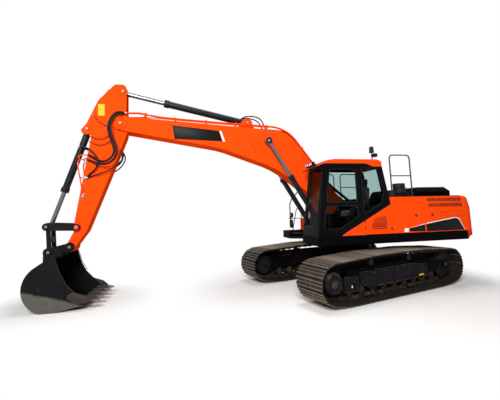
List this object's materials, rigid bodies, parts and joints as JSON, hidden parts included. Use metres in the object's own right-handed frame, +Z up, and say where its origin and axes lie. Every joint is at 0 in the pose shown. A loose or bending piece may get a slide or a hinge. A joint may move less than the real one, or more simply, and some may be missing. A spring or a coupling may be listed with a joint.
{
  "type": "crawler excavator",
  "caption": "Crawler excavator with a swing upper structure, cab, boom, arm and bucket linkage on shoe tracks.",
  "frame": {"origin": "on the ground, under the swing axis", "axes": "+X forward along the boom, +Y left towards the cab, +Z up"},
  "size_m": [10.3286, 4.5334, 5.0513],
  "materials": {
    "orange_paint": "gloss orange paint",
    "orange_iron": "gloss orange paint on cast iron",
    "black_paint": "satin black paint",
    "cab_paint": "satin black paint",
    "drive_paint": "dark blue black paint",
    "rail_paint": "black paint",
    "cylinder_paint": "gloss black paint",
    "shoe_steel": "worn dusty steel",
    "wheel_iron": "dark cast iron",
    "rod_chrome": "hard chrome",
    "link_steel": "black cast steel",
    "bucket_steel": "worn black paint",
    "tooth_steel": "cast steel",
    "engine_block": "plain block",
    "black_plastic": "matte black",
    "lamp_plastic": "black housings with clear lenses",
    "seat_fabric": "dark woven fabric",
    "glass": "clear safety glass"
  },
  "bodies": {
    "undercarriage": {"carbody": "black_paint", "swing_ring": "black_paint", "track_frames": "black_paint", "track_left": "shoe_steel", "track_right": "shoe_steel", "sprockets": "drive_paint", "idlers": "wheel_iron", "rollers": "wheel_iron"},
    "upper": {"deck": "black_paint", "counterweight": "orange_iron", "house_shell": "black_paint", "engine": "engine_block", "front_panel": "orange_paint", "tanks": "orange_paint", "toolbox": "orange_paint", "handrails": "rail_paint", "roof_stacks": "black_plastic", "cab_shell": "cab_paint", "cab_roof": "orange_paint", "cab_glass": "glass", "seat": "seat_fabric", "console": "black_plastic", "work_lights": "lamp_plastic"},
    "cab_door": {"cab_door": "cab_paint", "door_glass": "glass"},
    "side_door_front": {"side_door_front": "orange_paint"},
    "side_door_middle": {"side_door_middle": "orange_paint"},
    "side_door_rear": {"side_door_rear": "orange_paint"},
    "side_door_right": {"side_door_right": "orange_paint"},
    "engine_hood": {"engine_hood": "black_paint"},
    "boom": {"boom": "orange_paint"},
    "boom_barrel_left": {"boom_barrel_left": "cylinder_paint"},
    "boom_rod_left": {"boom_rod_left": "rod_chrome"},
    "boom_barrel_right": {"boom_barrel_right": "cylinder_paint"},
    "boom_rod_right": {"boom_rod_right": "rod_chrome"},
    "arm": {"arm": "orange_paint"},
    "arm_barrel": {"arm_barrel": "cylinder_paint"},
    "arm_rod": {"arm_rod": "rod_chrome"},
    "bucket_barrel": {"bucket_barrel": "cylinder_paint"},
    "bucket_rod": {"bucket_rod": "rod_chrome"},
    "guide_links": {"guide_links": "link_steel"},
    "h_link": {"h_link": "link_steel"},
    "bucket": {"bucket": "bucket_steel", "bucket_teeth": "tooth_steel"}
  },
  "joints": [
    {"name": "swing", "type": "hinge", "parent": "undercarriage", "child": "upper", "pos_m": [0, 0, 1.105], "axis": [0, 0, 1], "continuous": true},
    {"name": "cab_door_hinge", "type": "hinge", "parent": "upper", "child": "cab_door", "pos_m": [0.287, 1.352, 2.1], "axis": [0, 0, 1], "range_deg": [0, 165]},
    {"name": "side_door_front_hinge", "type": "hinge", "parent": "upper", "child": "side_door_front", "pos_m": [0.203, 1.355, 1.6], "axis": [0, 0, 1], "range_deg": [-100, 0]},
    {"name": "side_door_middle_hinge", "type": "hinge", "parent": "upper", "child": "side_door_middle", "pos_m": [-0.497, 1.355, 1.7], "axis": [0, 0, 1], "range_deg": [-95, 0]},
    {"name": "side_door_rear_hinge", "type": "hinge", "parent": "upper", "child": "side_door_rear", "pos_m": [-2.545, 1.355, 1.7], "axis": [0, 0, -1], "range_deg": [-90, 0]},
    {"name": "side_door_right_hinge", "type": "hinge", "parent": "upper", "child": "side_door_right", "pos_m": [-2.545, -1.355, 1.7], "axis": [0, 0, 1], "range_deg": [-90, 0]},
    {"name": "engine_hood_hinge", "type": "hinge", "parent": "upper", "child": "engine_hood", "pos_m": [-2.503, 0, 2.18], "axis": [0, 1, 0], "range_deg": [-50, 0]},
    {"name": "boom_lift", "type": "hinge", "parent": "upper", "child": "boom", "pos_m": [0.135, 0, 1.894], "axis": [0, -1, 0], "range_deg": [-54, 42]},
    {"name": "arm_swing", "type": "hinge", "parent": "boom", "child": "arm", "pos_m": [5.715, 0, 4.053], "axis": [0, 1, 0], "range_deg": [-61, 54.4]},
    {"name": "bucket_curl", "type": "hinge", "parent": "arm", "child": "bucket", "pos_m": [6.704, 0, 1.228], "axis": [0, 1, 0], "range_deg": [-85, 80]},
    {"name": "arm_barrel_pivot", "type": "hinge", "parent": "boom", "child": "arm_barrel", "pos_m": [2.621, 0, 4.209], "axis": [0, 1, 0], "range_deg": [-3, 3]},
    {"name": "arm_rod_slide", "type": "slide", "parent": "arm_barrel", "child": "arm_rod", "axis": [0.9777, 0, 0.2101], "range_m": [-0.74, 0.66]},
    {"name": "bucket_barrel_pivot", "type": "hinge", "parent": "arm", "child": "bucket_barrel", "pos_m": [6.46, 0, 3.916], "axis": [0, 1, 0], "range_deg": [-3, 3]},
    {"name": "bucket_rod_slide", "type": "slide", "parent": "bucket_barrel", "child": "bucket_rod", "axis": [0.3018, 0, -0.9534], "range_m": [-0.53, 0.47]},
    {"name": "guide_pivot", "type": "hinge", "parent": "arm", "child": "guide_links", "pos_m": [6.569, 0, 1.655], "axis": [0, 1, 0], "range_deg": [-59, 53]},
    {"name": "h_link_pivot", "type": "hinge", "parent": "bucket", "child": "h_link", "pos_m": [7.12, 0, 1.13], "axis": [0, 1, 0], "range_deg": [-66, 74]},
    {"name": "boom_barrel_left_pivot", "type": "hinge", "parent": "upper", "child": "boom_barrel_left", "pos_m": [0.79, 0.345, 1.445], "axis": [0, -1, 0], "range_deg": [-57, 45]},
    {"name": "boom_rod_left_slide", "type": "slide", "parent": "boom_barrel_left", "child": "boom_rod_left", "axis": [0.515, 0, 0.8572], "range_m": [-0.68, 0.54]},
    {"name": "boom_barrel_right_pivot", "type": "hinge", "parent": "upper", "child": "boom_barrel_right", "pos_m": [0.79, -0.345, 1.445], "axis": [0, -1, 0], "range_deg": [-57, 45]},
    {"name": "boom_rod_right_slide", "type": "slide", "parent": "boom_barrel_right", "child": "boom_rod_right", "axis": [0.515, 0, 0.8572], "range_m": [-0.68, 0.54]}
  ],
  "couplings": [
    {"joint": "arm_barrel_pivot", "follows": "arm_swing", "ratio": 0.01},
    {"joint": "arm_rod_slide", "follows": "arm_swing", "m_per_rad": 0.685},
    {"joint": "bucket_barrel_pivot", "follows": "bucket_curl", "ratio": 0.01},
    {"joint": "bucket_rod_slide", "follows": "bucket_curl", "m_per_rad": 0.326},
    {"joint": "guide_pivot", "follows": "bucket_curl", "ratio": 0.65},
    {"joint": "h_link_pivot", "follows": "bucket_curl", "ratio": -0.75},
    {"joint": "boom_barrel_left_pivot", "follows": "boom_lift", "ratio": 1.03},
    {"joint": "boom_rod_left_slide", "follows": "boom_lift", "m_per_rad": 0.7},
    {"joint": "boom_barrel_right_pivot", "follows": "boom_lift", "ratio": 1.03},
    {"joint": "boom_rod_right_slide", "follows": "boom_lift", "m_per_rad": 0.7}
  ]
}
